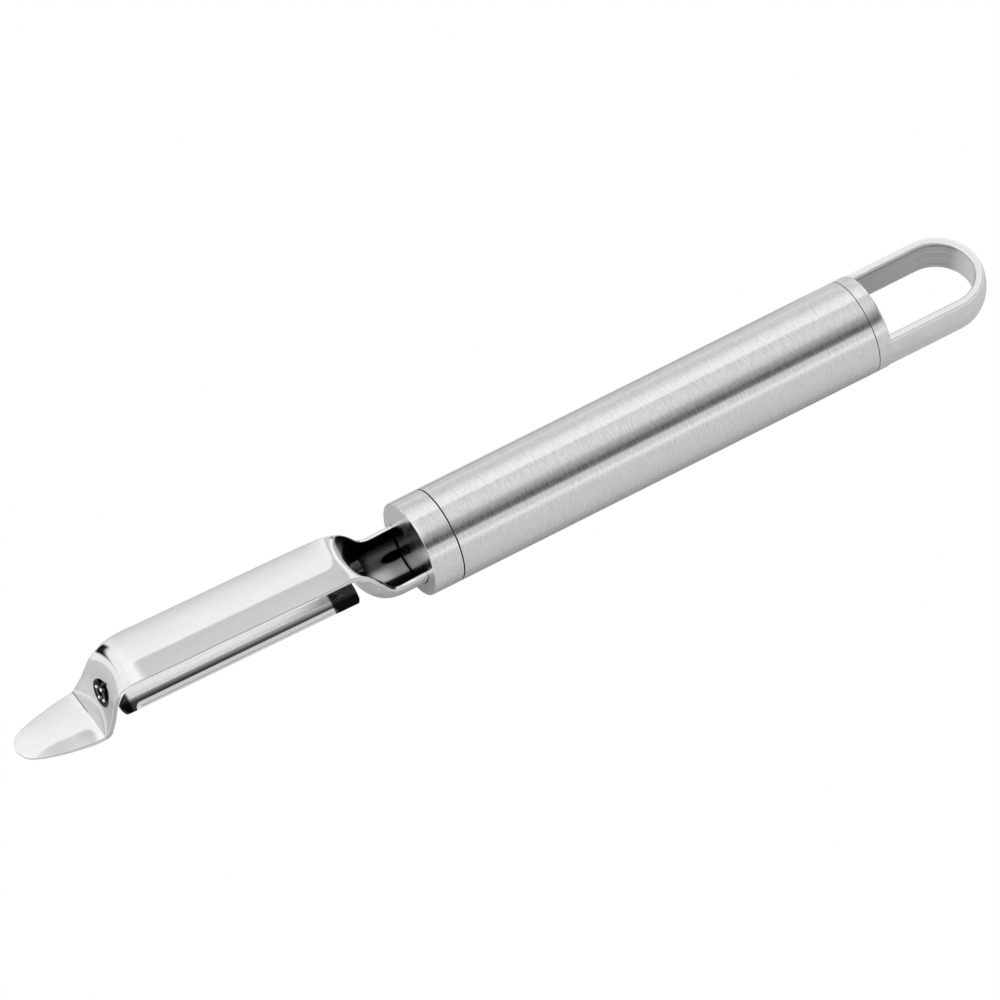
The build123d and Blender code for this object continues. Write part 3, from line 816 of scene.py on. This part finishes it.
# greyer ground below and behind the handle
for k, (y0, y1, g) in enumerate(((-0.0125, 0.0040, 0.79), (0.0040, 0.0500, 0.68))):
    shade = plane(f"floor_shade_{k}", (-0.0300, 0.0760, y0, y1), -0.00004, colour=(g, g, g))
    shade.visible_camera = shade.visible_shadow = False


def sky():
    w = bpy.data.worlds.new("studio")
    bpy.context.scene.world = w
    w.use_nodes = True
    nt = w.node_tree
    nt.nodes.clear()
    tc = nt.nodes.new("ShaderNodeTexCoord")
    sp = nt.nodes.new("ShaderNodeSeparateXYZ")
    link(nt, tc.outputs["Generated"], sp.inputs[0])

    def stripes(t, stops):
        return curve(nt, t, [(deg / 180, v) for deg, v in stops], top=2.0)

    X, Y, Z = sp.outputs["X"], sp.outputs["Y"], sp.outputs["Z"]
    # 0 at -Y, 90 degrees straight up, 180 at +Y, as 0 .. 1 over the upper half
    turn = mul(nt, calc(nt, "ARCTAN2", Z, mul(nt, Y, -1.0)), 1 / math.pi)
    # the large overhead light ends in an edge that slants at both ends of the tool
    past = calc(nt, "MAXIMUM", calc(nt, "SUBTRACT", X, 0.34), 0.0)
    slant = calc(nt, "ADD", mul(nt, past, past, 135.5 / 180), mul(nt, past, 12.7 / 180))
    back = mul(nt, calc(nt, "MINIMUM", calc(nt, "MAXIMUM", calc(nt, "SUBTRACT", 0.335, X), 0.0), 0.65), 20.0 / 180)
    turned_ = calc(nt, "ADD", calc(nt, "SUBTRACT", turn, slant), back)
    right = stripes(turned_, [(0, .70), (12, .72), (20, 1.15), (28, .72), (39.6, .72), (40.8, .10), (52, .11), (57, .34), (70, .46), (76, .72), (90, .78),
                              (112.6, .70), (114.6, 1.08), (125, 1.05), (135, .98), (142, .90), (150, .78), (157, .66), (166, .66), (172, .80), (180, .86)])
    left = stripes(turn, [(0, .72), (18, .74), (21, .95), (24, .74), (39.6, .74), (40.8, .08), (52, .08), (60, .50), (72, .90), (80, 1.10),
                          (90, 1.16), (114, 1.14), (130, 1.06), (145, .92), (155, .74), (165, .68), (180, .66)])
    front = stripes(turn, [(0, .75), (36, .78), (44, .55), (54, .55), (62, .70), (72, .85), (80, .98), (88, 1.02),
                           (100, 1.05), (125, 1.06), (140, 1.0), (155, .99), (180, .99)])
    base = blend(nt, step(nt, X, -0.40, -0.15), front, left)
    base = blend(nt, step(nt, X, 0.05, 0.30), base, right)
    base = blend(nt, mul(nt, step(nt, X, 0.336, 0.350), step(nt, turn, 150 / 180, 165 / 180)), base, 0.86)
    # the dark stripe is wider towards the head
    base = blend(nt, mul(nt, step(nt, X, 0.338, 0.302), step(nt, X, 0.27, 0.29), step(nt, turned_, 76 / 180, 57 / 180), step(nt, turned_, 39.6 / 180, 40.8 / 180)), base, 0.03)
    # a dark gap between the back edge of the light and the pale ground, to the left
    gap = calc(nt, "SUBTRACT", Z, mul(nt, Y, 0.643))
    dark = mul(nt, step(nt, gap, 0.040, 0.055), step(nt, gap, 0.24, 0.14), step(nt, X, -0.04, -0.20),
               step(nt, X, -0.76, -0.62), step(nt, Y, 0.3, 0.4))
    base = blend(nt, dark, base, 0.01)
    # pale wall low behind the handle
    low = mul(nt, step(nt, Z, 0.36, 0.12), step(nt, X, 0.45, 0.62), step(nt, Y, 0.1, 0.3))
    base = blend(nt, low, base, 1.15)
    val = nt.nodes.new("ShaderNodeCombineColor")
    for k in range(3):
        link(nt, base, val.inputs[k])
    lp = nt.nodes.new("ShaderNodeLightPath")
    sw = nt.nodes.new("ShaderNodeMix")
    sw.data_type = "RGBA"
    link(nt, lp.outputs["Is Camera Ray"], sw.inputs[0])
    link(nt, val.outputs[0], sw.inputs[6])
    sw.inputs[7].default_value = (1, 1, 1, 1)
    bg = nt.nodes.new("ShaderNodeBackground")
    link(nt, sw.outputs[2], bg.inputs["Color"])
    out = nt.nodes.new("ShaderNodeOutputWorld")
    link(nt, bg.outputs[0], out.inputs["Surface"])


sky()
bpy.context.scene.view_settings.view_transform = "Standard"
bpy.context.scene.view_settings.look = "None"

cam_data = bpy.data.cameras.new("camera")
cam_data.lens, cam_data.sensor_width = 430.11, 36.0
cam_data.clip_start, cam_data.clip_end = 0.05, 50
cam = bpy.data.objects.new("camera", cam_data)
bpy.context.scene.collection.objects.link(cam)
right, up, look = Vector((0.85156, -0.52420, -0.00732)), Vector((0.42591, 0.68361, 0.59268)), Vector((0.30568, 0.50782, -0.80540))
cam.matrix_world = Matrix.Translation((-0.648815, -1.07643, 1.71748)) @ Matrix((right, up, -look)).transposed().to_4x4()
bpy.context.scene.camera = cam

bpy.context.view_layer.update()
